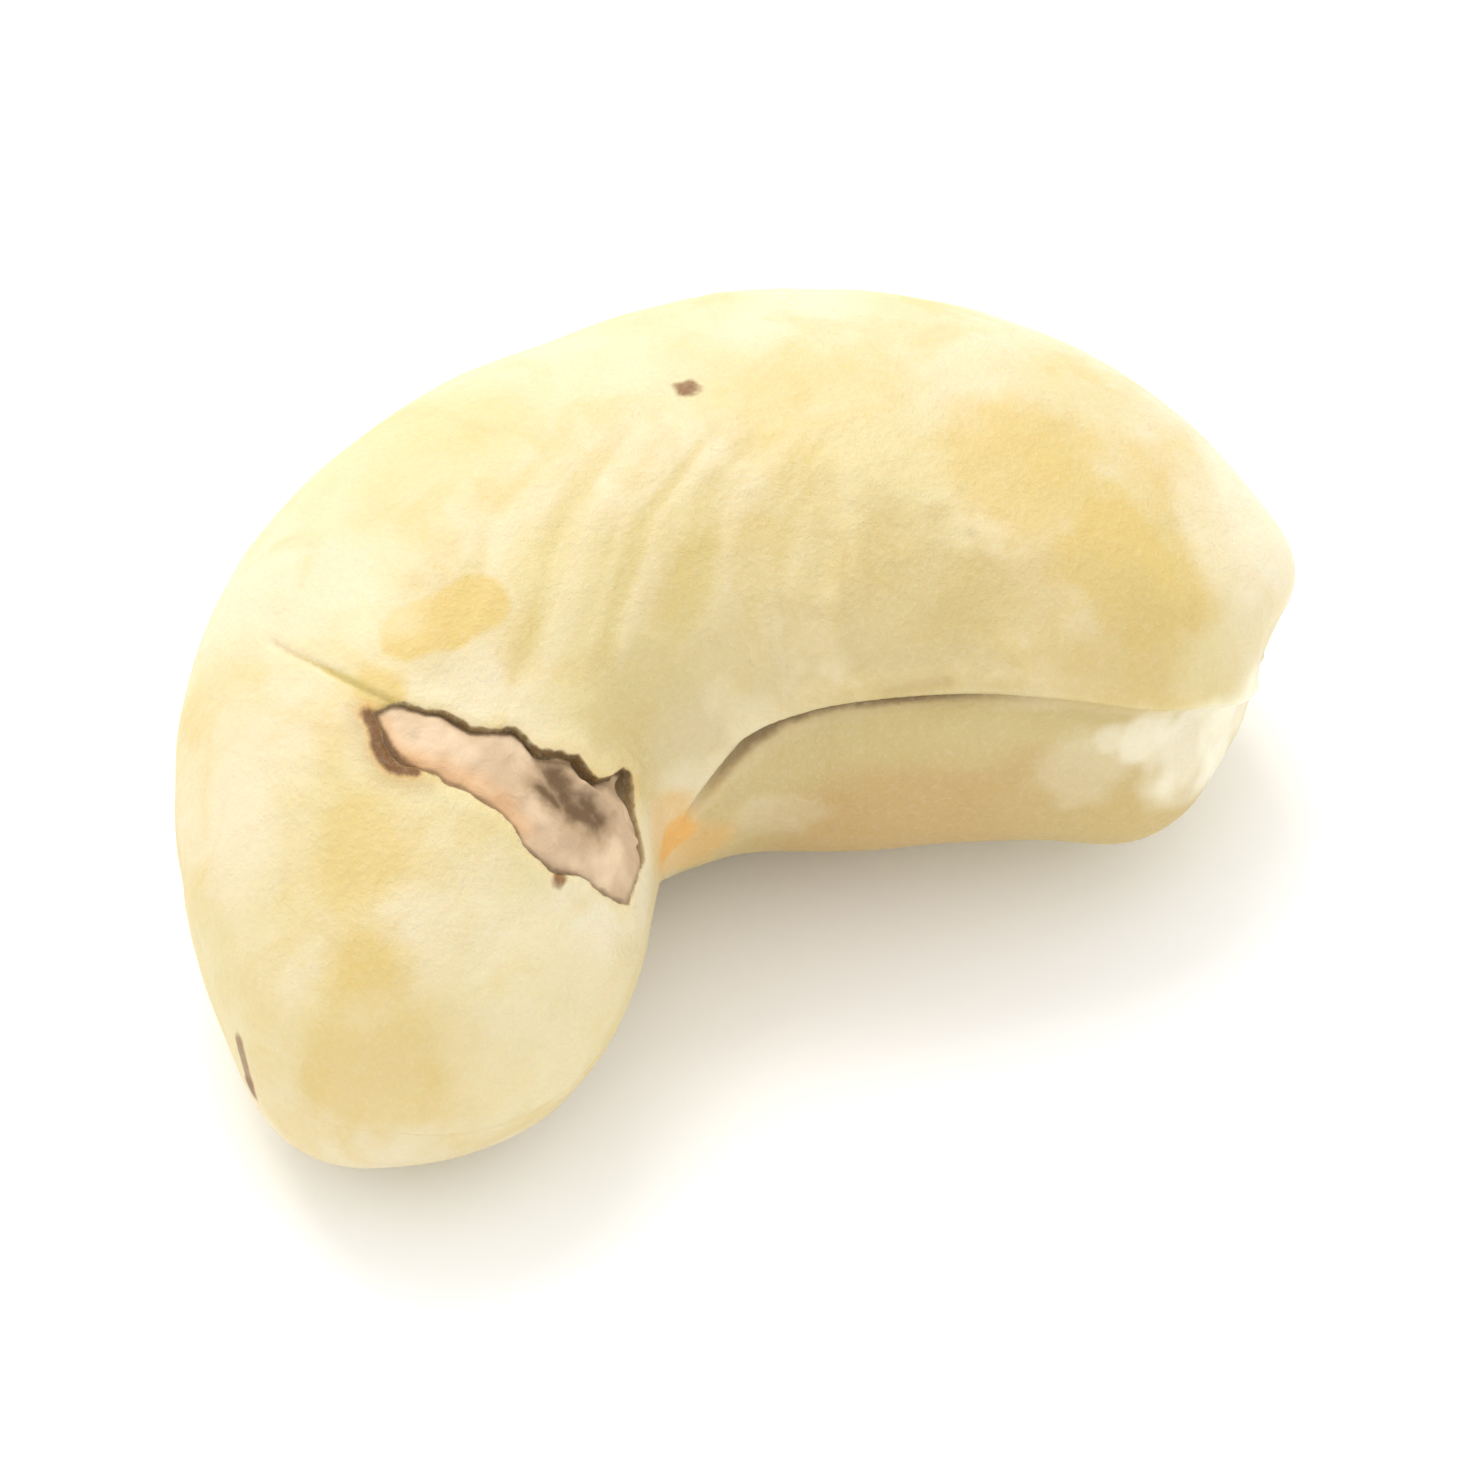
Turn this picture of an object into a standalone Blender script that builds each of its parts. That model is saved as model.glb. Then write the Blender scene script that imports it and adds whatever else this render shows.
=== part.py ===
"""A whole shelled cashew nut lying on its side: two seed leaves grown together into one curled kernel,
with a split across one lobe that still holds a scrap of the brown skin.

Metres, +Z up. The origin is under the middle of the nut, on the surface that it rests on. +X runs from
lobe to lobe along the nut, and the hollow of the curl faces -Y.
"""

import math

import bmesh
import bpy
import numpy as np

MM = 0.001

# Driving dimensions, in millimetres and degrees.
# The kernel is a row of sections along its curl, from the tip of the split lobe to the tip of the other.
# Each row: the section's middle (x, y, z), how far it reaches to the back of the curl, how far it
# reaches into the hollow, half its thickness, and how far it leans.
SECTIONS = np.array(
    [
        (-10.9, -5.3, 3.5, 3.9, 5.5, 4.4, 0.0),
        (-8.4, -2.0, 4.0, 4.75, 5.85, 4.8, 0.0),
        (-5.6, 1.0, 4.8, 5.2, 5.4, 5.1, 4.0),
        (-2.1, 2.3, 5.25, 5.5, 5.5, 5.3, 8.0),
        (1.6, 1.8, 5.35, 5.7, 5.9, 5.4, 12.0),
        (5.1, -0.1, 5.2, 6.2, 6.5, 5.4, 13.0),
        (8.1, -2.7, 4.55, 6.0, 6.7, 5.2, 13.0),
        (11.1, -5.8, 3.5, 4.6, 7.2, 4.8, 12.0),
    ]
)
TIP_FULLNESS = 2.9  # 2 would give pointed oval tips, more gives blunter ones
SECTION_FULLNESS = 0.92  # 1 would give an ellipse, less gives fuller corners
UNDERSIDE_FULLNESS = 0.8  # the lower corner on the hollow's side is fuller still
TOP_SLACK = 0.12  # how much flatter the upper half is towards the hollow

# The seam between the two seed leaves, on the hollow's side and faintly round the back.
SEAM_ANGLE_SPLIT_LOBE = 189.0
SEAM_ANGLE_OTHER_TIP = 160.0
SEAM_TURNS_FROM, SEAM_TURNS_TO = 0.3, 1.0
SEAM_DEPTH = 0.5
SEAM_HALF_WIDTH = 0.42
SEAM_SHARE_SPLIT_LOBE = 0.12  # the seam is nearly closed on the split lobe, in front and behind
BACK_SEAM_DEPTH = 0.16
LOWER_LEAF_STEP = 0.3  # the lower seed leaf stands back from the upper one by this

# Soft ribs round the bend, which slant towards the split lobe as they run down into the hollow.
RIB_COUNT = 16
RIB_HEIGHT = 0.05
RIB_SLANT = 0.0055  # in t, for each degree round the section
RIBS_MIDDLE, RIBS_REACH = 0.46, 0.16

# Swellings and dents: place on the skin (x, y, z), reach, and height above the plain form.
SWELLS = (
    ((11.6, -5.4, 5.5), 1.3, 0.4),  # blunt knob at the end of the upper seed leaf
    ((10.9, -6.4, 4.5), 0.8, -0.3),  # notch under the knob
    ((6.8, -7.8, 2.4), 2.0, 0.55),  # end of the lower seed leaf
    ((9.0, -7.3, 3.3), 1.3, -0.1),  # hollow where it draws in to the tip
    ((7.8, -7.7, 5.0), 0.9, -0.3),  # chip on the upper leaf's rim
    ((-11.9, -3.4, 2.4), 1.8, 0.35),  # full corner of the split lobe
    ((0.0, 4.6, 10.2), 4.5, -0.25),  # flattened top of the bend
    ((-6.6, -3.6, 8.6), 1.6, 0.15),  # lifted lip beside the split
    ((3.4, -3.4, 9.7), 2.4, -0.15),  # shallow dip above the hollow
)


# The split runs over the lobe from SPLIT_FROM, near its top, to SPLIT_TO, just short of the hollow.
# Both are angles round the section, and run is the share of the way from one to the other.
SPLIT_FROM, SPLIT_TO = 85.0, 167.0
SPLIT_MIDDLE, SPLIT_SLANT = 0.203, 0.038  # where it lies along the curl, and how far its start veers off
SPLIT_HALF_SPAN = 0.063  # half its width, along the curl
SPLIT_WIDENS_TO, SPLIT_NARROWS_FROM = 0.6, 0.85
SPLIT_END_SHARE = 0.4
SPLIT_RAGGED = 0.005
SPLIT_DEPTH = 1.5
SPLIT_FLOOR_SHARE = 0.5  # width of its floor, as a share of the width at the cutter's top
CURL_LENGTH = 28.0  # millimetres that t from 0 to 1 covers on the skin beside the split
CUT_STANDS_PROUD = 1.2

# The scrap of skin lodged in the split.
SCRAP_THICKNESS = 0.4
SCRAP_TOP = 0.3
SCRAP_CLEARANCE = 0.3
SCRAP_END_CLEARANCE = 7.0  # degrees short of each end of the split

SEGMENTS = 68
RINGS = 54
CROWD_SEAM = 0.24  # how strongly the segments crowd towards the seams
CUTTER_CUTS = 7

KERNEL_COLOUR = (0.83, 0.66, 0.38, 1.0)
SKIN_COLOUR = (0.50, 0.27, 0.15, 1.0)


def smooth_step(low, high, value):
    """0 below low, 1 above high, and a smooth rise between."""
    share = np.clip((value - low) / (high - low), 0, 1)
    return share * share * (3 - 2 * share)


def section_bends():
    """How strongly the smooth curve through SECTIONS bends at each of them, with straight ends."""
    count = len(SECTIONS)
    system = np.eye(count)
    wanted = np.zeros_like(SECTIONS)
    for i in range(1, count - 1):
        system[i, i - 1 : i + 2] = (1, 4, 1)
        wanted[i] = SECTIONS[i - 1] - 2 * SECTIONS[i] + SECTIONS[i + 1]
    return np.linalg.solve(system, wanted)


def section_at(t):
    """The rows of SECTIONS read at t by a smooth curve through them, for an array of t from 0 to 1."""
    bends = section_bends()
    place = np.clip(t, 0, 1) * (len(SECTIONS) - 1)
    index = np.minimum(place.astype(int), len(SECTIONS) - 2)
    after = (place - index)[:, None]
    before = 1 - after
    row = before * SECTIONS[index] + after * SECTIONS[index + 1]
    row += (before**3 - before) * bends[index]
    return row + (after**3 - after) * bends[index + 1]


def skin_points(t, angle, lift=0.0):
    """Points of the plain form, in millimetres. t runs from tip to tip. angle goes round the section:
    0 is the back of the curl, 90 the top, 180 the hollow and 270 the underside. lift raises a point
    away from the section's middle."""
    t = np.atleast_1d(np.asarray(t, float))
    turn = np.radians(np.atleast_1d(np.asarray(angle, float)))
    step = 1e-3
    section = section_at(t)
    along = section_at(np.clip(t + step, 0, 1)) - section_at(np.clip(t - step, 0, 1))
    along = along[:, :3] / np.linalg.norm(along[:, :3], axis=1)[:, None]
    out = np.cross((0.0, 0.0, 1.0), along)
    out /= np.linalg.norm(out, axis=1)[:, None]
    up = np.cross(along, out)
    cosine, sine = np.cos(turn), np.sin(turn)
    to_hollow = np.clip(-cosine, 0, 1)
    fullness = np.where((cosine < 0) & (sine < 0), UNDERSIDE_FULLNESS, SECTION_FULLNESS)
    reach = np.where(cosine > 0, section[:, 3], section[:, 4])
    across = reach * np.sign(cosine) * np.abs(cosine) ** fullness
    rise = section[:, 5] * np.sign(sine) * np.abs(sine) ** fullness
    rise *= 1 - TOP_SLACK * to_hollow * (sine > 0)
    lean = np.radians(section[:, 6])
    leaned_across = across * np.cos(lean) + rise * np.sin(lean)
    leaned_rise = rise * np.cos(lean) - across * np.sin(lean)
    ray = out * leaned_across[:, None] + up * leaned_rise[:, None]
    taper = (1 - np.abs(2 * t - 1) ** TIP_FULLNESS) ** (1 / TIP_FULLNESS)
    length = np.linalg.norm(ray, axis=1)[:, None]
    return section[:, :3] + ray * (taper[:, None] + np.reshape(lift, (-1, 1)) / length)


def seam_angle(t):
    turned = smooth_step(SEAM_TURNS_FROM, SEAM_TURNS_TO, t)
    return SEAM_ANGLE_SPLIT_LOBE + (SEAM_ANGLE_OTHER_TIP - SEAM_ANGLE_SPLIT_LOBE) * turned


def relief(t, angle, points):
    """Height of the skin above the plain form, in millimetres."""
    round_radius = section_at(t)[:, 5]
    past_seam = (angle - seam_angle(t) + 180) % 360 - 180
    past_back = (angle - seam_angle(t)) % 360 - 180
    seam = np.radians(past_seam) * round_radius / SEAM_HALF_WIDTH
    back = np.radians(past_back) * round_radius / SEAM_HALF_WIDTH
    open_share = SEAM_SHARE_SPLIT_LOBE + (1 - SEAM_SHARE_SPLIT_LOBE) * smooth_step(0.15, 0.4, t)
    height = -SEAM_DEPTH * open_share * np.exp(-(seam**2))
    height -= BACK_SEAM_DEPTH * open_share * np.exp(-(back**2))
    lower_leaf = smooth_step(0, 6, past_seam) * (1 - smooth_step(25, 70, past_seam))
    height -= LOWER_LEAF_STEP * lower_leaf * smooth_step(0.45, 0.65, t)
    on_bend = np.exp(-(((t - RIBS_MIDDLE) / RIBS_REACH) ** 2))
    on_top = smooth_step(50, 95, angle) * (1 - smooth_step(150, 175, angle))
    slanted = t + RIB_SLANT * angle
    height += RIB_HEIGHT * np.sin(2 * math.pi * RIB_COUNT * slanted) * on_bend * on_top
    for place, reach, rise in SWELLS:
        away = np.linalg.norm(points - np.array(place), axis=1)
        height += rise * np.exp(-((away / reach) ** 2))
    return height


def even_rings():
    """Shares of the way over the sphere and the t of each, spaced evenly over the kernel from tip to tip."""
    polar = np.linspace(0, math.pi, 1500)
    t = (1 - np.cos(polar)) / 2
    outline = skin_points(t, np.full(len(t), 90.0))
    steps = np.linalg.norm(np.diff(outline, axis=0), axis=1)
    length = np.concatenate([[0.0], np.cumsum(steps)])
    return length / length[-1], t


def bent_sphere():
    """A sphere bent into the kernel's form, with its relief, as a bmesh in millimetres."""
    bm = bmesh.new()
    bmesh.ops.create_uvsphere(bm, u_segments=SEGMENTS, v_segments=RINGS, radius=1)
    sphere = np.array([vertex.co for vertex in bm.verts])
    share, t_at = even_rings()
    t = np.interp(np.arccos(np.clip(-sphere[:, 2], -1, 1)) / math.pi, share, t_at)
    turn = np.arctan2(sphere[:, 1], sphere[:, 0])
    towards_seam = turn - np.radians(seam_angle(t))
    angle = np.degrees(turn - CROWD_SEAM * np.sin(2 * towards_seam)) % 360
    points = skin_points(t, angle)
    for vertex, point in zip(bm.verts, points):
        vertex.co = point
    bm.normal_update()
    heights = relief(t, angle, points)
    for vertex, height in zip(bm.verts, heights):
        vertex.co += vertex.normal * height
    return bm


def trim_flat(bm):
    """Cuts the underside off at the surface, which leaves small flat spots to rest on."""
    geometry = bm.verts[:] + bm.edges[:] + bm.faces[:]
    bmesh.ops.bisect_plane(
        bm, geom=geometry, plane_co=(0, 0, 0), plane_no=(0, 0, -1), clear_outer=True
    )
    rims = [edge for edge in bm.edges if edge.is_boundary]
    bmesh.ops.holes_fill(bm, edges=rims, sides=0)


def split_block(half_span, top, bottom, floor_share, end_clearance, name):
    """A cube divided and bent along the split. half_span is half its width along the curl, and top and
    bottom are heights above the skin, in millimetres."""
    bm = bmesh.new()
    bmesh.ops.create_cube(bm, size=2)
    bmesh.ops.subdivide_edges(bm, edges=bm.edges[:], cuts=CUTTER_CUTS, use_grid_fill=True)
    block = np.array([vertex.co for vertex in bm.verts])
    first, last = SPLIT_FROM + end_clearance, SPLIT_TO - end_clearance
    angle = first + (last - first) * (block[:, 0] + 1) / 2
    run = (angle - SPLIT_FROM) / (SPLIT_TO - SPLIT_FROM)
    spread = np.clip(run / SPLIT_WIDENS_TO, 0.03, 1) ** 0.6
    spread -= (1 - SPLIT_END_SHARE) * smooth_step(SPLIT_NARROWS_FROM, 1.0, run)
    depth_share = (1 - block[:, 2]) / 2
    narrowing = 1 - (1 - floor_share) * depth_share
    middle = SPLIT_MIDDLE + SPLIT_SLANT * (1 - run) ** 2.5
    t = middle + block[:, 1] * half_span * narrowing * spread
    t += SPLIT_RAGGED * np.sin(11 * run) * np.sin(math.pi * run)
    lift = top + (bottom - top) * depth_share
    for vertex, point in zip(bm.verts, skin_points(t, angle, lift)):
        vertex.co = point
    return mesh_object(name, bm)


def mesh_object(name, bm):
    """A smooth-shaded object in metres from a bmesh in millimetres, which is freed."""
    bmesh.ops.scale(bm, vec=(MM, MM, MM), verts=bm.verts)
    mesh = bpy.data.meshes.new(name)
    bm.to_mesh(mesh)
    bm.free()
    mesh.shade_smooth()
    mesh.set_sharp_from_angle(angle=math.radians(40))
    return bpy.data.objects.new(name, mesh)


def make_material(name, colour, roughness):
    material = bpy.data.materials.new(name)
    material.use_nodes = True
    shader = material.node_tree.nodes["Principled BSDF"]
    shader.inputs["Base Color"].default_value = colour
    shader.inputs["Roughness"].default_value = roughness
    shader.inputs["Metallic"].default_value = 0.0
    return material


def make_kernel(parts, cutters):
    """The kernel, with the split cut into its lobe."""
    bm = bent_sphere()
    trim_flat(bm)
    kernel = mesh_object("kernel", bm)
    kernel.data.materials.append(make_material("kernel_flesh", KERNEL_COLOUR, 0.5))
    parts.objects.link(kernel)
    cutter = split_block(
        SPLIT_HALF_SPAN, CUT_STANDS_PROUD, -SPLIT_DEPTH, SPLIT_FLOOR_SHARE, 0.0, "split_cutter"
    )
    cutter.hide_render = True
    cutter.display_type = "WIRE"
    cutters.objects.link(cutter)
    cut = kernel.modifiers.new("split", "BOOLEAN")
    cut.operation = "DIFFERENCE"
    cut.solver = "EXACT"
    cut.object = cutter


def make_scrap(parts):
    """The scrap of brown skin, clear of the split's walls and floor all round."""
    bottom = SCRAP_TOP + SCRAP_THICKNESS
    down_the_cutter = (bottom + CUT_STANDS_PROUD) / (SPLIT_DEPTH + CUT_STANDS_PROUD)
    width_there = SPLIT_HALF_SPAN * (1 - (1 - SPLIT_FLOOR_SHARE) * down_the_cutter)
    half_span = width_there - SCRAP_CLEARANCE / CURL_LENGTH
    scrap = split_block(half_span, -SCRAP_TOP, -bottom, 1.0, SCRAP_END_CLEARANCE, "testa_scrap")
    scrap.data.materials.append(make_material("testa", SKIN_COLOUR, 0.75))
    parts.objects.link(scrap)


def main():
    for old in list(bpy.data.objects):
        bpy.data.objects.remove(old)
    parts = bpy.data.collections.new("cashew_nut")
    cutters = bpy.data.collections.new("cutters")
    for collection in (parts, cutters):
        bpy.context.scene.collection.children.link(collection)
    make_kernel(parts, cutters)
    make_scrap(parts)


main()
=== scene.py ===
# %% [markdown]
# # A shelled cashew nut
# A cashew kernel is two seed leaves pressed together and curled like a comma. It is peeled and dried,
# so its skin is matt and waxy, with soft wrinkles round the bend. This one has a split across one lobe,
# and a scrap of the brown papery skin, which is called the testa, is still lodged in it.
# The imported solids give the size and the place. This notebook gives the nut its looks.

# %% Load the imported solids
import math

import bmesh
import bpy
import numpy as np
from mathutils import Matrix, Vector


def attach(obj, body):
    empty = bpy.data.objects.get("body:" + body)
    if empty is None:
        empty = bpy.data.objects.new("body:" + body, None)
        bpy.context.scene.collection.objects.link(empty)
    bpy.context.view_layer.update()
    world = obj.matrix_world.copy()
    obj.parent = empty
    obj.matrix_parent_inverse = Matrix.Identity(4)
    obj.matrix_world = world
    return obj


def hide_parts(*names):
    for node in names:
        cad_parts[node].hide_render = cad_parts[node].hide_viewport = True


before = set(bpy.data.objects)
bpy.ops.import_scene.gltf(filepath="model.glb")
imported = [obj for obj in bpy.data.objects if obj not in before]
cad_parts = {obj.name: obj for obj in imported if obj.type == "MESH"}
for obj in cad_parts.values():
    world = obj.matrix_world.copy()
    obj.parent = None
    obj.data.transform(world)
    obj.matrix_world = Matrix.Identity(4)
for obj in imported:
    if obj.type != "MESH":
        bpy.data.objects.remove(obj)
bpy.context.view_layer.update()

MM = 0.001

# %% [markdown]
# ## The camera
# A small thing is photographed from well back with a long lens, which keeps its shape true. A camera
# near the nut would swell whatever is closest. The camera is placed by the angle it looks from, so that
# the angle can be read off the picture, and the lens follows from how much of the scene is in view.

# %% Place the camera
AIM = Vector((0.6, -1.2, 3.95)) * MM
CAMERA_AZIMUTH = math.radians(-36)
CAMERA_ELEVATION = math.radians(50)
CAMERA_DISTANCE = 185 * MM
VIEW_WIDTH = 30.2 * MM  # how much of the scene is seen across, at the nut
SENSOR_WIDTH = 36.0  # Blender gives sensors and lenses in millimetres

back = Vector(
    (
        math.sin(CAMERA_AZIMUTH) * math.cos(CAMERA_ELEVATION),
        -math.cos(CAMERA_AZIMUTH) * math.cos(CAMERA_ELEVATION),
        math.sin(CAMERA_ELEVATION),
    )
)
lens = bpy.data.cameras.new("camera")
lens.sensor_width = SENSOR_WIDTH
lens.lens = SENSOR_WIDTH * CAMERA_DISTANCE / VIEW_WIDTH
lens.clip_start = CAMERA_DISTANCE / 20
camera = bpy.data.objects.new("camera", lens)
camera.location = AIM + back * CAMERA_DISTANCE
camera.rotation_euler = back.to_track_quat("Z", "Y").to_euler()
bpy.context.scene.collection.objects.link(camera)
bpy.context.scene.camera = camera
print("lens in mm:", round(lens.lens, 1))

# %% [markdown]
# ## The floor and the light
# The picture is high key: a white floor that washes out, and a soft shadow that falls towards the
# hollow of the curl. One large soft lamp behind and above the nut makes that shadow. A bright white
# world fills the rest, as white walls would. The Standard view keeps white as white, where the default
# view would turn it grey.

# %% Lay the floor and set the light
FLOOR_HALF_SIDE = 400 * MM
FLOOR_DROP = 0.01 * MM  # keeps the floor from flickering through the nut's flat spots
WORLD_STRENGTH = 1.12
KEY_WATTS = 0.43
KEY_COLOUR = (1.0, 0.99, 0.96)
KEY_SIZE = 170 * MM
KEY_PLACE = Vector((30, 150, 240)) * MM

bpy.context.scene.view_settings.view_transform = "Standard"
world = bpy.data.worlds.new("white_room")
world.use_nodes = True
world.node_tree.nodes["Background"].inputs["Color"].default_value = (1.0, 1.0, 1.0, 1.0)
world.node_tree.nodes["Background"].inputs["Strength"].default_value = WORLD_STRENGTH
bpy.context.scene.world = world

key = bpy.data.objects.new("key", bpy.data.lights.new("key", "AREA"))
key.data.size = KEY_SIZE
key.data.energy = KEY_WATTS
key.data.color = KEY_COLOUR
key.location = KEY_PLACE
key.rotation_euler = (KEY_PLACE - AIM).to_track_quat("Z", "Y").to_euler()
bpy.context.scene.collection.objects.link(key)

bm = bmesh.new()
bmesh.ops.create_grid(bm, x_segments=1, y_segments=1, size=FLOOR_HALF_SIDE)
bmesh.ops.translate(bm, vec=(0, 0, -FLOOR_DROP), verts=bm.verts)
floor = bpy.data.objects.new("floor", bpy.data.meshes.new("floor"))
bm.to_mesh(floor.data)
bm.free()
bpy.context.scene.collection.objects.link(floor)
print("floor is", 2 * FLOOR_HALF_SIDE, "m wide")

# %% [markdown]
# ## The curl
# The kernel is a row of sections along its curl. Each row gives the section's middle, how far it
# reaches to the back of the curl and into the hollow, half its thickness, and how far it leans. These
# are the solids' own sections, so the dressed nut keeps their form. A curve that bends smoothly through
# the rows leaves no crease where two of them meet.

# %% The sections, in millimetres and degrees
SECTIONS = np.array(
    [
        (-10.9, -5.3, 3.5, 3.9, 5.5, 4.4, 0.0),
        (-8.4, -2.0, 4.0, 4.75, 5.85, 4.8, 0.0),
        (-5.6, 1.0, 4.8, 5.2, 5.4, 5.1, 4.0),
        (-2.1, 2.3, 5.25, 5.5, 5.5, 5.3, 8.0),
        (1.6, 1.8, 5.35, 5.7, 5.9, 5.4, 12.0),
        (5.1, -0.1, 5.2, 6.2, 6.5, 5.4, 13.0),
        (8.1, -2.7, 4.55, 6.0, 6.7, 5.2, 13.0),
        (11.1, -5.8, 3.5, 4.6, 7.2, 4.8, 12.0),
    ]
)
TIP_FULLNESS = 2.9  # 2 would round the tips like an ellipse, and more makes them blunter
SECTION_FULLNESS = 0.92  # 1 would make each section an ellipse, and less makes it squarer
UNDERSIDE_FULLNESS = 0.8  # the same, for the quarter between the hollow and the underside
TOP_SLACK = 0.12  # how much lower the top is towards the hollow


def smooth_step(low, high, value):
    """0 below low, 1 above high, and a smooth rise between."""
    share = np.clip((value - low) / (high - low), 0, 1)
    return share * share * (3 - 2 * share)


def section_bends():
    """How strongly the smooth curve through SECTIONS bends at each of them, with straight ends."""
    count = len(SECTIONS)
    system = np.eye(count)
    wanted = np.zeros_like(SECTIONS)
    for i in range(1, count - 1):
        system[i, i - 1 : i + 2] = (1, 4, 1)
        wanted[i] = SECTIONS[i - 1] - 2 * SECTIONS[i] + SECTIONS[i + 1]
    return np.linalg.solve(system, wanted)


def section_at(t):
    """The rows of SECTIONS read at t by a smooth curve through them, for an array of t from 0 to 1."""
    bends = section_bends()
    place = np.clip(t, 0, 1) * (len(SECTIONS) - 1)
    index = np.minimum(place.astype(int), len(SECTIONS) - 2)
    after = (place - index)[:, None]
    before = 1 - after
    row = before * SECTIONS[index] + after * SECTIONS[index + 1]
    row += (before**3 - before) * bends[index]
    return row + (after**3 - after) * bends[index + 1]


print("sections:", len(SECTIONS))

# %% [markdown]
# A place on the skin is told by two numbers. t runs along the curl, 0 at the tip of the split lobe and
# 1 at the other tip. The angle goes round the section: 0 is the back of the curl, 90 the top, 180 the
# hollow and 270 the underside. One function turns them into a point, so every mark on the nut can be
# placed the same way.

# %% From t and angle to a point
def skin_points(t, angle, lift=0.0):
    """Points of the plain form, in millimetres, raised by lift away from the section's middle."""
    t, angle = np.broadcast_arrays(np.atleast_1d(np.asarray(t, float)), np.asarray(angle, float))
    turn = np.radians(angle)
    step = 1e-3
    section = section_at(t)
    along = section_at(np.clip(t + step, 0, 1)) - section_at(np.clip(t - step, 0, 1))
    along = along[:, :3] / np.linalg.norm(along[:, :3], axis=1)[:, None]
    out = np.cross((0.0, 0.0, 1.0), along)
    out /= np.linalg.norm(out, axis=1)[:, None]
    up = np.cross(along, out)
    cosine, sine = np.cos(turn), np.sin(turn)
    fullness = np.where((cosine < 0) & (sine < 0), UNDERSIDE_FULLNESS, SECTION_FULLNESS)
    reach = np.where(cosine > 0, section[:, 3], section[:, 4])
    across = reach * np.sign(cosine) * np.abs(cosine) ** fullness
    rise = section[:, 5] * np.sign(sine) * np.abs(sine) ** fullness
    rise *= 1 - TOP_SLACK * np.clip(-cosine, 0, 1) * (sine > 0)
    lean = np.radians(section[:, 6])
    leaned_across = across * np.cos(lean) + rise * np.sin(lean)
    leaned_rise = rise * np.cos(lean) - across * np.sin(lean)
    ray = out * leaned_across[:, None] + up * leaned_rise[:, None]
    taper = (1 - np.abs(2 * t - 1) ** TIP_FULLNESS) ** (1 / TIP_FULLNESS)
    length = np.linalg.norm(ray, axis=1)[:, None]
    return section[:, :3] + ray * (taper[:, None] + np.reshape(lift, (-1, 1)) / length)


print("top of the bend in mm:", skin_points(0.5, 90.0)[0].round(2))

# %% [markdown]
# ## The marks on the skin
# The seam between the seed leaves, the split and a hairline crack are lines on the skin. Each is a
# short list of t and angle, read off the photograph. They could be painted on a picture that is laid
# over the nut, but a list of places keeps them as sharp as the mesh and is easy to change.

# %% Lines on the skin
SEAM_ANGLE_SPLIT_LOBE = 189.0
SEAM_ANGLE_OTHER_TIP = 160.0
SEAM_TURNS_FROM, SEAM_TURNS_TO = 0.3, 1.0  # where along the curl it goes from one to the other

# Rows of t and angle. The split's two edges run the same way round and meet at both ends.
SPLIT_UPPER = (
    (0.241, 87.5), (0.249, 91), (0.253, 94), (0.251, 98.5), (0.254, 102), (0.250, 105), (0.246, 108.5),
    (0.251, 113.5), (0.257, 118.5), (0.254, 121.5), (0.249, 125), (0.257, 131), (0.260, 136.5),
    (0.250, 139), (0.246, 142), (0.260, 146.5), (0.281, 152), (0.287, 156), (0.257, 158), (0.239, 159.5),
    (0.224, 163), (0.205, 165.5),
)
SPLIT_LOWER = (
    (0.241, 87.5), (0.231, 89), (0.216, 90.5), (0.207, 92), (0.204, 95.5), (0.203, 99.5), (0.197, 102),
    (0.194, 105), (0.187, 109.5), (0.182, 113), (0.172, 116.5), (0.162, 119.5), (0.154, 124.5),
    (0.150, 129.5), (0.154, 137), (0.153, 143), (0.152, 152), (0.157, 160), (0.174, 161.5),
    (0.192, 164), (0.205, 165.5),
)
BURNT_EDGE = SPLIT_LOWER[:5]  # the dark scorched end of the split
DARK_EDGE = SPLIT_UPPER[9:18]  # the torn upper side, dark with brown skin and painted shade
RUST_EDGE = SPLIT_LOWER[4:11]  # where the scrap is stained along its lower edge
SCRATCH = ((0.064, 5), (0.055, -2), (0.049, -10))  # dark, low on the split lobe's outer end
OVAL = ((0.298, 94), (0.318, 101), (0.342, 106.5))  # a toasted oval beside the split
CRACK = ((0.283, 62), (0.276, 68.5), (0.270, 75), (0.263, 81), (0.256, 87), (0.250, 91.5))
LIP_LINE = ((0.712, 167), (0.735, 165), (0.763, 162.5))  # a short dent above the seam
print("places on the split's edges:", len(SPLIT_UPPER) + len(SPLIT_LOWER))

# %% [markdown]
# To carve or paint a line, every point of the mesh needs its distance from it. One function measures
# that, in millimetres, and another tells how far inside the split a point is.

# %% Distances on the skin
def seam_angle(t):
    """Where the seam lies round the section, at a place along the curl."""
    turned = smooth_step(SEAM_TURNS_FROM, SEAM_TURNS_TO, t)
    return SEAM_ANGLE_SPLIT_LOBE + (SEAM_ANGLE_OTHER_TIP - SEAM_ANGLE_SPLIT_LOBE) * turned


def distance_to_line(points, line):
    """How far each point is from a line given as rows of t and angle, in millimetres."""
    corners = skin_points(*np.array(line, float).T)
    nearest = np.full(len(points), np.inf)
    for start, end in zip(corners[:-1], corners[1:]):
        run = end - start
        share = np.clip((points - start) @ run / (run @ run), 0, 1)
        gap = np.linalg.norm(points - start - share[:, None] * run, axis=1)
        nearest = np.minimum(nearest, gap)
    return nearest


def split_edges(angle):
    """The t of the split's lower and upper edge at an angle round the section."""
    return [np.interp(angle, *np.array(edge)[:, ::-1].T) for edge in (SPLIT_LOWER, SPLIT_UPPER)]


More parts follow.
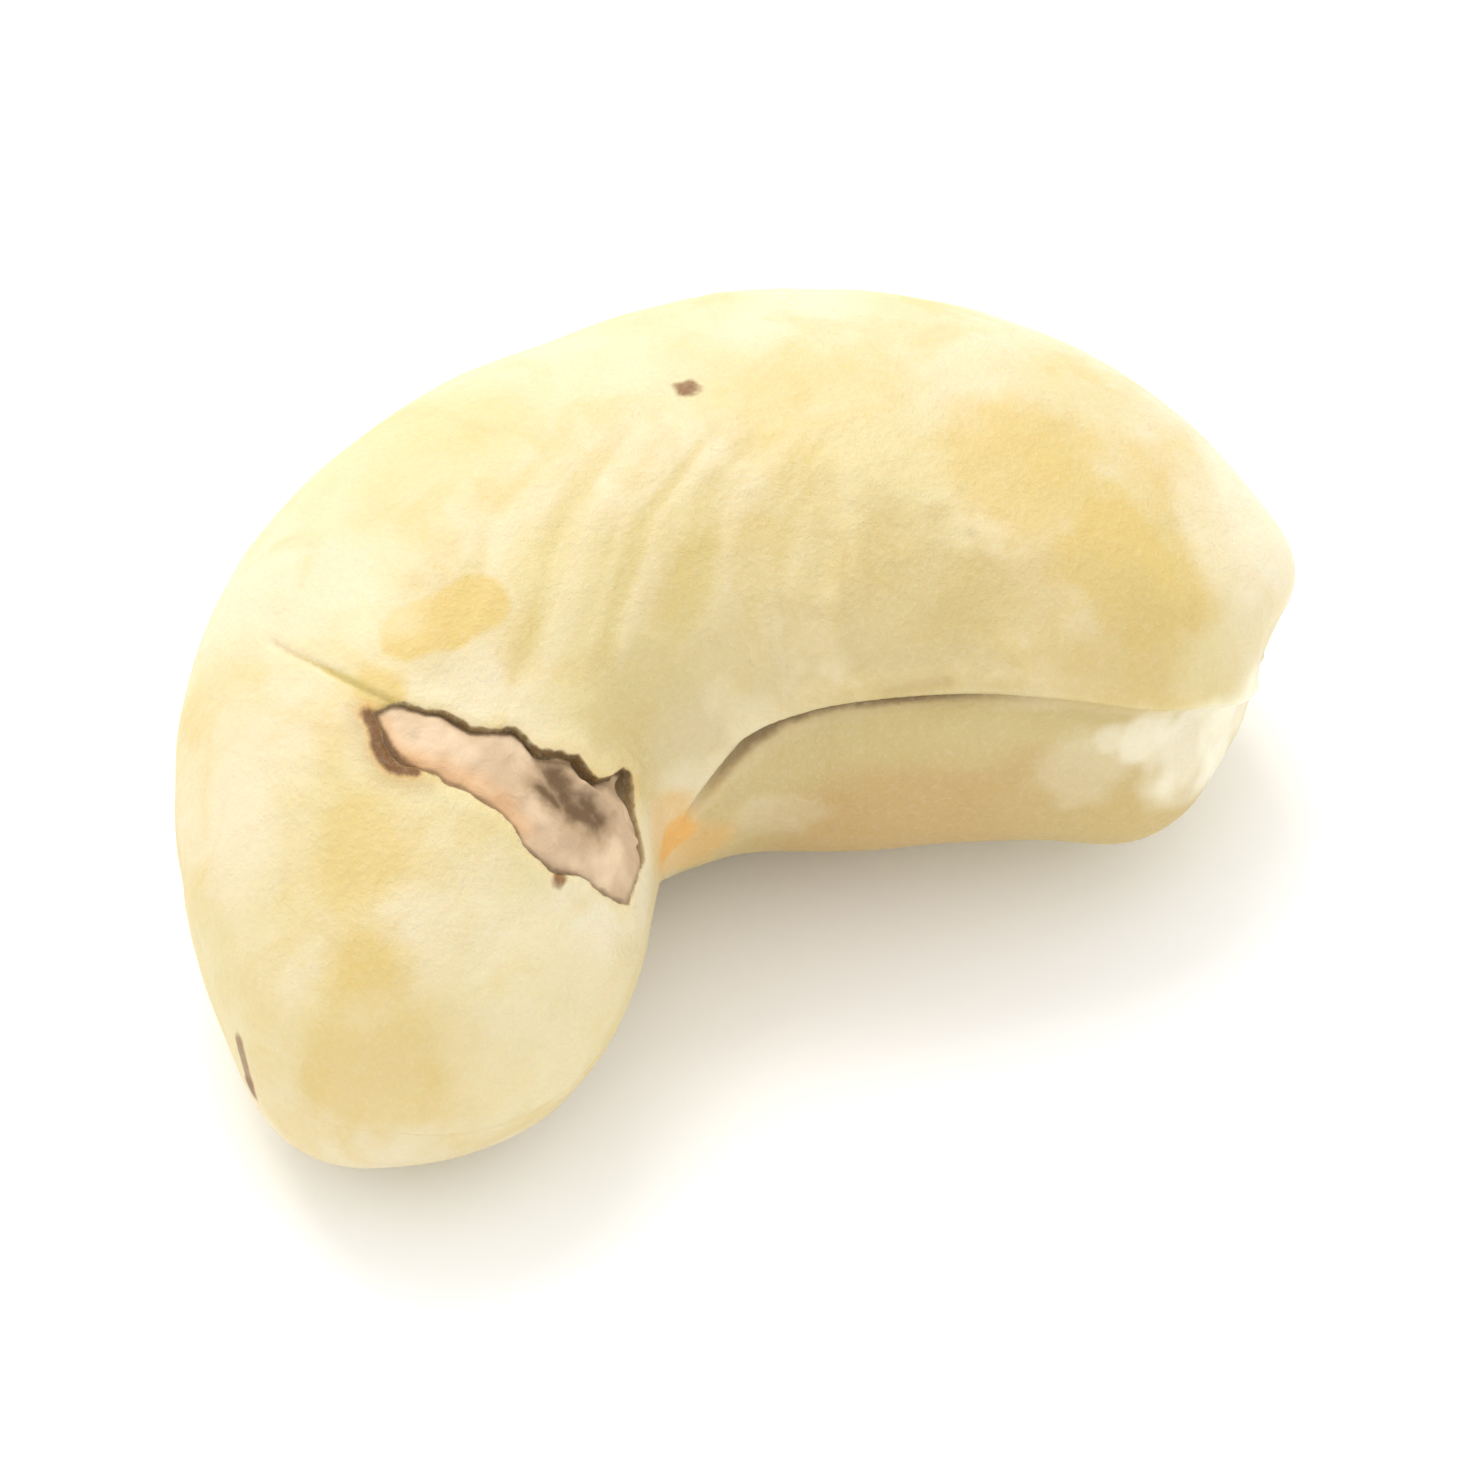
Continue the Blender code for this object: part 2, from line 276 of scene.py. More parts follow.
def inside_split(t, angle, points):
    """How far inside the split's outline each point is, in millimetres, and negative outside it."""
    lower, upper = split_edges(angle)
    gap = distance_to_line(points, SPLIT_UPPER + SPLIT_LOWER[-2::-1])
    between = (t > lower) & (t < upper) & (angle > SPLIT_UPPER[0][1]) & (angle < SPLIT_UPPER[-1][1])
    return np.where(between, gap, -gap)


split_ends = skin_points(*np.array((SPLIT_UPPER[0], SPLIT_UPPER[-1])).T)
print("the split runs", np.linalg.norm(split_ends[1] - split_ends[0]).round(1), "mm from end to end")

# %% [markdown]
# Nothing on a nut is quite even, so almost every shape gets some noise. This is gradient noise: each
# corner of a grid of cubes has a slope in a random direction, and a point blends the slopes of the
# eight corners round it. numpy does that for the whole mesh at once. The seed is fixed, so the nut
# comes out the same every time.

# %% Noise
SLOPES = np.random.default_rng(18).normal(size=(32, 32, 32, 3))
SLOPES /= np.linalg.norm(SLOPES, axis=3, keepdims=True)
NOISE_SWING = 1.5  # brings the noise to about -1 to 1


def lumps(points, size, seed):
    """Smooth noise from about -1 to 1, with lumps of about that size in millimetres."""
    place = points / size + np.array((7.3, 3.1, 5.7)) * seed
    cell = np.floor(place).astype(int)
    after = place - cell
    fade = after**3 * (after * (after * 6 - 15) + 10)
    value = np.zeros(len(points))
    for corner in np.ndindex(2, 2, 2):
        weight = np.prod(np.where(corner, fade, 1 - fade), axis=1)
        x, y, z = ((cell + corner) % len(SLOPES)).T
        value += weight * np.sum(SLOPES[x, y, z] * (after - corner), axis=1)
    return NOISE_SWING * value


across_nut = lumps(np.linspace((-12, -6, 2), (12, 2, 9), 2000), 1.0, 1)
print("noise runs from", across_nut.min().round(2), "to", across_nut.max().round(2))

# %% [markdown]
# ## The relief
# The form of the lobes comes first: a knob, a notch and a chip at one end, and soft dents. The lower
# seed leaf stands back a little from the upper one. These could be sculpted by hand, but a short list
# of places and heights can be read, and moves each point by a sum.

# %% Broad form
LOWER_LEAF_STEP = 0.3
BROAD_LUMPS = 0.10  # height of the lumps about 4 mm across
SMALL_LUMPS = 0.05  # and of those under 2 mm across
# Each swelling or dent: its place, how far it reaches, and its height.
SWELLS = (
    ((11.6, -5.4, 5.5), 1.3, 0.4),  # blunt knob at the end of the upper seed leaf
    ((10.9, -6.4, 4.5), 0.8, -0.3),  # notch under the knob
    ((6.8, -7.8, 2.4), 2.0, 0.55),  # end of the lower seed leaf
    ((9.0, -7.3, 3.3), 1.3, -0.1),  # hollow where it draws in to the tip
    ((7.8, -7.7, 5.0), 0.9, -0.3),  # chip on the upper leaf's rim
    ((-11.9, -3.4, 2.4), 1.8, 0.35),  # full corner of the split lobe
    ((0.0, 4.6, 10.2), 4.5, -0.25),  # flattened top of the bend
    ((-6.6, -3.6, 8.6), 1.6, 0.15),  # lifted lip beside the split
    ((3.4, -3.4, 9.7), 2.4, -0.15),  # shallow dip above the hollow
)


def broad_relief(t, angle, points):
    """Swellings, dents and the step between the seed leaves, in millimetres above the plain form."""
    height = np.zeros(len(points))
    for place, reach, rise in SWELLS:
        away = np.linalg.norm(points - np.array(place), axis=1)
        height += rise * np.exp(-((away / reach) ** 2))
    past_seam = (angle - seam_angle(t) + 180) % 360 - 180
    lower_leaf = smooth_step(-1, 3, past_seam) * (1 - smooth_step(25, 70, past_seam))
    height -= LOWER_LEAF_STEP * lower_leaf * smooth_step(0.45, 0.65, t)
    height += BROAD_LUMPS * lumps(points, 4.0, 1)
    return height + SMALL_LUMPS * lumps(points, 1.7, 2)


print("swellings and dents:", len(SWELLS))

# %% [markdown]
# Then come the folds. The seam is a sharp cleft on one lobe and nearly closed on the other, and leaves
# a faint trace round the back. The skin puckers into short ribs on the inside of the bend, because it
# dried there with too much skin for the room. The ribs lie side by side in one direction of space, so
# they are counted along it, and noise makes each one uneven. Patches of fine wrinkles cross the curl.

# %% Folds, ribs and wrinkles
SEAM_DEPTH = 0.35
SEAM_HALF_WIDTH = 0.16
SEAM_SHARE_SPLIT_LOBE = 0.06  # how much of its depth the seam has on the split lobe
SEAM_OPENS_FROM, SEAM_OPENS_TO = 0.34, 0.5  # in t
SEAM_SHUTS_FROM, SEAM_SHUTS_TO = 0.78, 0.9
SEAM_SHUT_BY = 0.6
BACK_SEAM_DEPTH = 0.08
BACK_SHARE_SPLIT_LOBE = 0.15
LIP_ROLL = 0.10  # how far the upper leaf's rim swells above the seam
LIP_ROLL_BACK, LIP_ROLL_REACH = 0.45, 0.35  # how far from the seam, and how wide
DENT_DEPTH, DENT_HALF_WIDTH = 0.07, 0.16
RIB_HEIGHT = 0.05
RIB_SPACING = 1.5
RIB_WIDTH, RIB_LENGTH = 0.6, 2.6
FINE_RIB_WIDTH, FINE_RIB_LENGTH = 0.3, 1.3
EVEN_SHARE, UNEVEN_SHARE, FINE_SHARE = 0.4, 0.9, 0.15
RIB_COUNTED = np.array((0.81, -0.59, 0.0))  # the ribs lie side by side in this direction
RIB_RUNS = np.array((-0.45, -0.62, -0.64))  # and run from the bend's top into the hollow in this one
RIB_SLANT = 0.25
RIB_TURN, RIB_TURNS_AT = 0.47, -6.4  # the ribs' upper ends lean over, above this place
RIB_START = 1.75
RIBS_MIDDLE, RIBS_REACH = -2.3, 3.7
WRINKLE_DEPTH = 0.025
WRINKLE_SPACING, WRINKLE_STRETCH = 0.7, 1.7
MM_PER_DEGREE = 0.0925  # round the section
MM_PER_T = 28.0  # along the curl


def seam_gaps(t, angle):
    """Signed distance past the seam and past its trace round the back, in millimetres."""
    past_seam = (angle - seam_angle(t) + 180) % 360 - 180
    past_back = (angle - seam_angle(t)) % 360 - 180
    return past_seam * MM_PER_DEGREE, past_back * MM_PER_DEGREE


def across_curl(t, angle, spacing, stretch, seed):
    """Noise drawn out round the section, so that its lumps are short ridges across the curl."""
    turn = np.radians(angle)
    along = t * MM_PER_T / spacing
    places = np.column_stack([along, np.cos(turn) * stretch, np.sin(turn) * stretch])
    return lumps(places, 1.0, seed)


def ribs(angle, points):
    """Ribs on the inside of the bend, from -1 in the grooves to 1 on the ridges."""
    side, run = points @ RIB_COUNTED, points @ RIB_RUNS
    count = side + RIB_SLANT * run + RIB_TURN * np.minimum(run - RIB_TURNS_AT, 0)
    uneven = lumps(np.column_stack([count / RIB_WIDTH, run / RIB_LENGTH, 0 * run]), 1.0, 3)
    fine = lumps(np.column_stack([count / FINE_RIB_WIDTH, run / FINE_RIB_LENGTH, 0 * run]), 1.0, 14)
    even = np.cos(2 * math.pi * (count + RIB_START + 0.35 * uneven) / RIB_SPACING)
    wave = EVEN_SHARE * even + UNEVEN_SHARE * uneven + FINE_SHARE * fine
    on_bend = np.exp(-(((count - RIBS_MIDDLE) / RIBS_REACH) ** 4)) * smooth_step(-8.8, -7.2, run)
    on_bend *= 1 - smooth_step(-4.4, -2.0, run)
    on_top = smooth_step(70, 86, angle) * (1 - smooth_step(135, 160, angle))
    return np.clip(wave, -1, 1) * on_bend * on_top


def fold_relief(t, angle, points):
    """Seams, ribs and wrinkles, in millimetres above the broad form."""
    seam, back_seam = seam_gaps(t, angle)
    opened = smooth_step(SEAM_OPENS_FROM, SEAM_OPENS_TO, t)
    open_share = SEAM_SHARE_SPLIT_LOBE + (1 - SEAM_SHARE_SPLIT_LOBE) * opened
    open_share *= 1 - SEAM_SHUT_BY * smooth_step(SEAM_SHUTS_FROM, SEAM_SHUTS_TO, t)
    height = -SEAM_DEPTH * open_share * np.exp(-((seam / SEAM_HALF_WIDTH) ** 2))
    height += LIP_ROLL * open_share * np.exp(-(((seam + LIP_ROLL_BACK) / LIP_ROLL_REACH) ** 2))
    back_share = BACK_SHARE_SPLIT_LOBE + (1 - BACK_SHARE_SPLIT_LOBE) * smooth_step(0.3, 0.6, t)
    height -= BACK_SEAM_DEPTH * back_share * np.exp(-((back_seam / SEAM_HALF_WIDTH) ** 2))
    height += RIB_HEIGHT * ribs(angle, points)
    dent = distance_to_line(points, LIP_LINE)
    height -= DENT_DEPTH * np.exp(-((dent / DENT_HALF_WIDTH) ** 2))
    wrinkle = np.abs(across_curl(t, angle, WRINKLE_SPACING, WRINKLE_STRETCH, 4))
    wrinkled = smooth_step(0.0, 0.5, lumps(points, 3.2, 7)) * smooth_step(0.08, 0.25, t)
    wrinkled *= 1 - smooth_step(0.75, 0.92, t)
    return height - WRINKLE_DEPTH * (1 - smooth_step(0.0, 0.35, wrinkle)) * wrinkled


print("ribs are about", RIB_SPACING, "mm apart")

# %% [markdown]
# The split is a shallow pit with ragged walls, and its lips are a little lifted, because the flesh
# pulled apart as it dried. The hairline crack that leads into it is only a scratch deep.

# %% The split and the crack
SPLIT_DEPTH = 0.28
SPLIT_WALL = 0.08  # how far in from the edge the pit has its full depth
TUCK = 0.05  # how far the flesh laps over the scrap's edge
TORN_COARSE, TORN_FINE = 0.08, 0.04  # how far the torn edge wanders
LIP_HEIGHT = 0.05
LIP_PLACE, LIP_REACH = 0.2, 0.22  # how far outside the edge the lip is, and how wide
CRACK_DEPTH = 0.12
CRACK_HALF_WIDTH = 0.07


def ragged_inside(t, angle, points):
    """The same as inside_split, for a torn edge that laps over the scrap."""
    torn = TORN_COARSE * lumps(points, 0.55, 5) + TORN_FINE * lumps(points, 0.24, 6)
    return inside_split(t, angle, points) + torn - TUCK


def split_relief(inside, crack):
    """The pit, its lifted lips and the crack, in millimetres."""
    height = -SPLIT_DEPTH * smooth_step(-0.02, SPLIT_WALL, inside)
    height += LIP_HEIGHT * np.exp(-(((inside + LIP_PLACE) / LIP_REACH) ** 2))
    return height - CRACK_DEPTH * np.exp(-((crack / CRACK_HALF_WIDTH) ** 2))


print("the pit is", SPLIT_DEPTH, "mm deep and the crack", CRACK_DEPTH)

# %% [markdown]
# ## The kernel's mesh
# A ball with many rings and segments is bent into the kernel. It is made coarse and then divided once,
# which is several times as quick as making it fine. The rings are packed closer at the split, and the
# segments at the split and the seam, because detail is finest there.

# %% Where the rings go
CROWD_SPLIT = 1.5  # how many more rings there are at the split, for each one elsewhere
SPLIT_MIDDLE, SPLIT_REACH = 0.21, 0.07  # in t


def spaced_rings():
    """Shares of the way over the ball, and the t of each, with the rings closer at the split."""
    polar = np.linspace(0, math.pi, 3000)
    t = (1 - np.cos(polar)) / 2
    outline = skin_points(t, 90.0)
    steps = np.linalg.norm(np.diff(outline, axis=0), axis=1)
    steps *= 1 + CROWD_SPLIT * np.exp(-(((t[1:] - SPLIT_MIDDLE) / SPLIT_REACH) ** 2))
    length = np.concatenate([[0.0], np.cumsum(steps)])
    return length / length[-1], t


share, t_at = spaced_rings()
print("share of rings before the split's middle:", np.interp(SPLIT_MIDDLE, t_at, share).round(2))

# %% [markdown]
# Each vertex of the ball is then put where its t and angle say, and moved along its own normal by the
# relief. That is done in two rounds, so that the folds stand square on the broad form. The underside
# is flattened where it would pass through the floor, which gives the nut its flat spot.

# %% Bend a ball into the kernel
SEGMENTS = 165
RINGS = 148
CROWD_FRONT = 0.42  # how much closer the segments are packed at the angle below
CROWDED_ANGLE = 150.0


def raise_along_normals(bm, height):
    """Moves each vertex along its normal by its height in millimetres."""
    bm.normal_update()
    for vertex, rise in zip(bm.verts, height):
        vertex.co += vertex.normal * rise


bm = bmesh.new()
bmesh.ops.create_uvsphere(bm, u_segments=SEGMENTS, v_segments=RINGS, radius=1)
bmesh.ops.subdivide_edges(bm, edges=bm.edges[:], cuts=1, use_grid_fill=True)
ball = np.array([vertex.co.normalized() for vertex in bm.verts])
t = np.interp(np.arccos(np.clip(-ball[:, 2], -1, 1)) / math.pi, share, t_at)
turn = np.arctan2(ball[:, 1], ball[:, 0])
angle = np.degrees(turn - CROWD_FRONT * np.sin(turn - math.radians(CROWDED_ANGLE))) % 360
plain = skin_points(t, angle)
for vertex, point in zip(bm.verts, plain):
    vertex.co = point
raise_along_normals(bm, broad_relief(t, angle, plain))
inside = ragged_inside(t, angle, plain)
crack = distance_to_line(plain, CRACK)
folds = fold_relief(t, angle, plain)
raise_along_normals(bm, folds + split_relief(inside, crack))
for vertex in bm.verts:
    vertex.co.z = max(vertex.co.z, 0.0)
bmesh.ops.scale(bm, vec=(MM, MM, MM), verts=bm.verts)
kernel = bpy.data.objects.new("kernel_skin", bpy.data.meshes.new("kernel_skin"))
bm.to_mesh(kernel.data)
bm.free()
kernel.data.shade_smooth()
bpy.context.scene.collection.objects.link(kernel)
print("kernel faces:", len(kernel.data.polygons))

# %% [markdown]
# ## What the paint follows
# Colour on a real kernel follows its shape. Toasted patches lie where it touched the tray and some
# high places are rubbed pale, and over these goes painted light: shade in the creases and on the faces
# turned from the lamp, and highlights on some lit places. Soft patches are given by a place, how far
# they reach and how strong they are. A patch could be painted by hand on a picture, but this way it
# stays where it is when the mesh changes.

# %% Soft patches
# Toasted places.
GOLDEN_PATCHES = (
    ((-7.1, 0.1, 9.4), 0.6, 0.9),
    ((-10.3, -3.9, 6.8), 0.8, 0.9),
    ((6.6, -3.2, 9.6), 2.2, 0.8),
    ((7.6, -5.2, 8.2), 2.3, 1.0),
    ((9.2, -4.4, 7.4), 2.0, 0.6),
    ((5.4, -5.2, 8.6), 1.8, 0.5),
    ((6.6, -6.5, 7.2), 1.8, 0.6),
    ((-9.1, -2.0, 8.1), 1.3, 0.6),
    ((-10.3, -4.0, 6.7), 1.2, 0.6),
    ((-10.9, -5.2, 5.0), 2.0, 0.7),
    ((-9.8, -5.7, 5.0), 1.8, 0.5),
    ((-2.0, 6.5, 6.0), 3.0, 0.6),
    ((6.1, -7.5, 3.5), 1.2, 0.6),
    ((8.0, 3.0, 5.0), 2.6, 0.5),
    ((-9.5, 2.5, 4.0), 2.2, 0.5),
)
# Painted shade, mostly round the inside of the bend and on the faces turned from the lamp.
PAINTED_SHADE_PATCHES = (
    ((0.5, -2.0, 9.6), 3.0, 0.55),
    ((5.2, -5.3, 8.6), 1.6, 0.6),
    ((3.0, -4.4, 8.8), 3.0, 1.0),
    ((6.0, -6.3, 7.3), 2.4, 0.55),
    ((-2.2, -2.4, 7.6), 2.0, 0.7),
    ((-5.4, 0.6, 9.8), 1.4, 0.4),
)
# Places that are rubbed pale, and painted highlights on some lit places and in the shaded crook.
PALE_SCUFFS_AND_HIGHLIGHTS = (
    ((6.5, -7.6, 5.5), 0.7, 0.7),
    ((5.8, -7.4, 5.8), 0.5, 0.5),
    ((5.2, -7.3, 5.2), 1.2, 0.25),
    ((7.6, -7.6, 4.6), 1.3, 0.8),
    ((8.9, -7.6, 4.2), 1.6, 1.0),
    ((9.9, -7.0, 3.9), 1.4, 0.9),
    ((11.4, -4.7, 6.3), 2.2, 0.45),
    ((-7.2, -6.2, 5.3), 2.8, 0.25),
    ((-6.1, 1.4, 9.4), 1.0, 0.25),
    ((-4.3, -4.4, 6.0), 1.6, 0.3),
    ((-6.6, -6.1, 4.6), 1.6, 0.25),
    ((-0.2, -4.0, 4.1), 1.0, 0.2),
    ((10.2, -5.0, 7.3), 1.4, 0.4),
)
# An orange stain where the seam runs into the hollow.
STAINS = (
    ((-2.6, -3.3, 5.1), 1.0, 0.4),
    ((-2.2, -3.3, 4.4), 0.8, 1.0),
    ((-1.9, -3.2, 3.6), 1.2, 0.45),
)


def patches(points, spots):
    """How strongly each point is inside the spots, from 0 to 1, with wandering edges."""
    wander = 0.32 * lumps(points, 1.2, 8) + 0.18 * lumps(points, 0.45, 9)
    value = np.zeros(len(points))
    for place, reach, strength in spots:
        away = np.linalg.norm(points - np.array(place), axis=1) / reach + wander
        value = np.maximum(value, strength * (1 - smooth_step(0.5, 1.15, away)))
    return value


print("golden patches:", len(GOLDEN_PATCHES), "and pale ones:", len(PALE_SCUFFS_AND_HIGHLIGHTS))

# %% [markdown]
# The split's rim isn't one even line. Its left end is scorched, thickest at a corner, and the upper
# side is dark with brown skin and painted shade under the flesh's torn edge. The flesh and the scrap
# both need these two measures, so that the marks run on from one to the other.

# %% The rim of the split
BURNT_CORNER = np.array((-7.7, -1.0, 8.9))
BURNT_SWELL, BURNT_REACH = 0.14, 0.55
RIM_DARKNESS = 0.62
DARK_EDGE_ADDS = 0.38
DARK_EDGE_FROM, DARK_EDGE_TO = 0.1, 0.9  # millimetres from the edge
RIGHT_END_FADES = 0.42


def burnt_gap(points):
    """Distance from the scorched edge in millimetres, less near its corner, where it is thickest."""
    from_corner = np.linalg.norm(points - BURNT_CORNER, axis=1)
    swell = BURNT_SWELL * np.exp(-((from_corner / BURNT_REACH) ** 2))
    return distance_to_line(points, BURNT_EDGE) - swell


def rim_darkness(angle, points):
    """How dark the torn rim is painted with brown skin and shade, most along its upper side and least at
    its right end.
    """
    gap = distance_to_line(points, DARK_EDGE)
    dark = 1 - smooth_step(DARK_EDGE_FROM, DARK_EDGE_TO, gap)
    at_right_end = smooth_step(155, 160, angle)
    return RIM_DARKNESS + DARK_EDGE_ADDS * dark - RIGHT_END_FADES * at_right_end


print("darkest rim:", rim_darkness(angle, plain).max().round(2))

# %% [markdown]
# Each measure is now stored as a number for every vertex, under a name that the material reads. Some
# are strengths from 0 to 1, and some are distances in millimetres, which the material can sharpen into
# a line as fine as it likes.

# %% Store the measures on the mesh
FULL_CREASE = 0.1  # a fold this deep, in millimetres, gets all of the painted crease shade


def paint(mesh, name, values):
    """Stores one number a vertex, for the material to read by name."""
    layer = mesh.attributes.new(name, "FLOAT", "POINT")
    layer.data.foreach_set("value", np.asarray(values, np.float32))


seam, back_seam = seam_gaps(t, angle)
# The lower leaf, undercut below the seam, gets painted shade, and tan painted shade on its underside.
on_lower_leaf = smooth_step(0.0, 0.5, seam) * (1 - smooth_step(5.5, 9.0, seam))
under = smooth_step(1.2, 2.1, seam + 0.45 * lumps(plain, 1.5, 10))
under *= smooth_step(0.48, 0.7, t) * (1 - 0.75 * smooth_step(0.8, 0.93, t))
paint(kernel.data, "golden", patches(plain, GOLDEN_PATCHES))
# painted shade on the faces turned from the lamp
paint(kernel.data, "painted_shade", patches(plain, PAINTED_SHADE_PATCHES))
paint(kernel.data, "pale", patches(plain, PALE_SCUFFS_AND_HIGHLIGHTS))
paint(kernel.data, "burnt", burnt_gap(plain))
paint(kernel.data, "lip_line", distance_to_line(plain, LIP_LINE))
paint(kernel.data, "scratch", distance_to_line(plain, SCRATCH))
paint(kernel.data, "oval", distance_to_line(plain, OVAL))
# brown skin and painted shade along the split's torn rim
paint(kernel.data, "rim_dark", rim_darkness(angle, plain))
paint(kernel.data, "inside", inside)
paint(kernel.data, "crack", crack + 0.10 * smooth_step(0.262, 0.281, t))  # thins out at its far end
paint(kernel.data, "seam", seam)
paint(kernel.data, "seam_open", smooth_step(0.42, 0.6, t) * (1 - smooth_step(0.74, 0.87, t)))
paint(kernel.data, "back_seam", np.abs(back_seam) + 0.3 * (1 - smooth_step(0.3, 0.6, t)))
# Masks for the painted shade on the lower leaf and on its underside.
paint(kernel.data, "lower_leaf", on_lower_leaf * smooth_step(0.3, 0.45, t))
paint(kernel.data, "under", on_lower_leaf * under)
paint(kernel.data, "stain", patches(plain, STAINS))
# Painted shade in the folds, stronger the deeper they are.
paint(kernel.data, "crease", np.clip(-folds / FULL_CREASE, 0, 1))
paint(kernel.data, "rib", ribs(angle, plain))
print("measures stored:", sum(layer.data_type == "FLOAT" for layer in kernel.data.attributes))

# %% [markdown]
# ## The scrap of brown skin
# The testa is a papery skin about a tenth of a millimetre thick. What is left of it in the split is a
# crumpled strip with torn edges. It could be simulated as cloth, but so small a scrap is stiff and has
# no weight to speak of, so a finely divided grid is bent into the split and crumpled by noise instead.
# Its edges curl down into the pit, which leaves the dark line round it. Its main folds and its darker
# blotches are lines on the skin, like the marks above.

# %% The scrap's folds and blotches
# Each fold is a line of t and angle, the height of its crest, and its half width.
TESTA_FOLDS = (
    (((0.238, 96), (0.220, 110), (0.203, 122), (0.186, 134), (0.180, 148), (0.186, 160)), 0.08, 0.35),
    (((0.232, 137), (0.226, 148), (0.212, 159)), 0.13, 0.10),
    (((0.252, 141), (0.262, 148), (0.262, 155)), -0.16, 0.25),
    (((0.240, 126), (0.222, 131), (0.200, 134)), -0.10, 0.22),
    (((0.250, 124), (0.247, 131), (0.252, 137)), -0.12, 0.14),
)
# Each blotch is a line of t and angle, and how far it reaches.
TESTA_BLOTCHES = (
    (((0.228, 129), (0.214, 132), (0.206, 134.5)), 0.55),
    (((0.207, 134), (0.203, 141)), 0.50),
    (((0.217, 137), (0.209, 143.5)), 0.42),
    (((0.213, 124), (0.204, 129)), 0.32),
)


def fold_height(points):
    """The testa's creases at each point, in millimetres."""
    height = np.zeros(len(points))
    for line, crest, half_width in TESTA_FOLDS:
        height += crest * np.exp(-((distance_to_line(points, line) / half_width) ** 2))
    return height


def blotched(points):
    """How deep inside the nearest blotch each point is, from 1 on its line to 0 at its reach."""
    wander = 0.22 * lumps(points, 0.5, 15) + 0.15 * lumps(points, 0.22, 16)
    depth = [1 - distance_to_line(points, line) / reach for line, reach in TESTA_BLOTCHES]
    return np.max(depth, axis=0) + wander


print("folds:", len(TESTA_FOLDS), "and blotches:", len(TESTA_BLOTCHES))

# %% [markdown]
# The grid runs from one end of the split to the other and narrows with it. Each vertex is put on the
# plain form and lifted by the folds, the crumples and the nut's own swells, less what its edge curls
# down. A Solidify modifier then gives it its thickness.

# %% Bend a grid into the split
SCRAP_ALONG, SCRAP_ACROSS = 240, 90
SCRAP_ENDS = (88.0, 165.2)  # angles, just inside the split's two ends
LEAST_HALF_WIDTH = 0.0012  # in t
SCRAP_SUNK = 0.06  # how far it lies below the flesh
SCRAP_CRUMPLE = 0.08
CURL_REACH = 0.32  # how far in from its edge it curls down
SCRAP_THICKNESS = 0.08

bm = bmesh.new()
bmesh.ops.create_grid(bm, x_segments=SCRAP_ALONG, y_segments=SCRAP_ACROSS, size=1)
sheet = np.array([vertex.co for vertex in bm.verts])
scrap_angle = SCRAP_ENDS[0] + (SCRAP_ENDS[1] - SCRAP_ENDS[0]) * (sheet[:, 0] + 1) / 2
lower, upper = split_edges(scrap_angle)
half_width = np.maximum((upper - lower) / 2, LEAST_HALF_WIDTH)
scrap_t = (upper + lower) / 2 + half_width * sheet[:, 1]
flat = skin_points(scrap_t, scrap_angle)
from_edge = np.maximum(inside_split(scrap_t, scrap_angle, flat), 0)
# It is creased like paper: sharp where the noise crosses zero, with finer crumples on top.
crumple = np.abs(lumps(flat, 0.95, 11)) - 0.25 + 0.4 * lumps(flat, 0.4, 12)
crumple += 0.6 * across_curl(scrap_t, scrap_angle, 0.5, 3.0, 13)
folds_here = fold_height(flat)
# Its edges curl down unevenly, the upper one most, and less at the right end.
curl_down = (0.08 + 0.05 * sheet[:, 1]) * (1 + 0.7 * lumps(flat, 1.1, 17))
curl_down *= 1 - 0.6 * smooth_step(155, 161, scrap_angle)
curl_down *= 1 - smooth_step(0.0, CURL_REACH, from_edge)
lift = -SCRAP_SUNK + SCRAP_CRUMPLE * crumple + folds_here - curl_down
lift += broad_relief(scrap_t, scrap_angle, flat)
for vertex, point in zip(bm.verts, skin_points(scrap_t, scrap_angle, lift)):
    vertex.co = point
bmesh.ops.recalc_face_normals(bm, faces=bm.faces)
bmesh.ops.scale(bm, vec=(MM, MM, MM), verts=bm.verts)
scrap = bpy.data.objects.new("testa_sheet", bpy.data.meshes.new("testa_sheet"))
bm.to_mesh(scrap.data)
bm.free()
scrap.data.shade_smooth()
paint(scrap.data, "from_edge", from_edge)
paint(scrap.data, "blotch", blotched(flat))
paint(scrap.data, "burnt", burnt_gap(flat))
paint(scrap.data, "fold", folds_here)
paint(scrap.data, "rust", distance_to_line(flat, RUST_EDGE))
paint(scrap.data, "rim_dark", rim_darkness(scrap_angle, flat))
bpy.context.scene.collection.objects.link(scrap)
wall = scrap.modifiers.new("thickness", "SOLIDIFY")
wall.thickness = SCRAP_THICKNESS * MM
wall.offset = -1.0
print("scrap faces:", len(scrap.data.polygons))

# %% [markdown]
# ## Writing materials as sums
# A material is a sum over the surface: so much cream, so much gold where the mask says so. Nodes can be
# hard to read when there are many, so a small class lets Python's own operators add them. A colour goes
# through a Mix node, because a Math node would turn it grey.

# %% Wires and finishes
class Wire:
    """A number in a material. Python's operators on it add Math nodes."""

    def __init__(self, finish, socket):
        self.finish = finish
        self.socket = socket

    def math(self, operation, *values):
        """Adds one Math node and returns its output."""
        return self.finish.add("ShaderNodeMath", {"operation": operation}, dict(enumerate(values)))

    def __add__(self, other):
        return self.math("ADD", self, other)

    def __sub__(self, other):
        return self.math("SUBTRACT", self, other)

    def __rsub__(self, other):
        return self.math("SUBTRACT", other, self)

    def __mul__(self, other):
        return self.math("MULTIPLY", self, other)

    def __abs__(self):
        return self.math("ABSOLUTE", self)

    __radd__ = __add__
    __rmul__ = __mul__


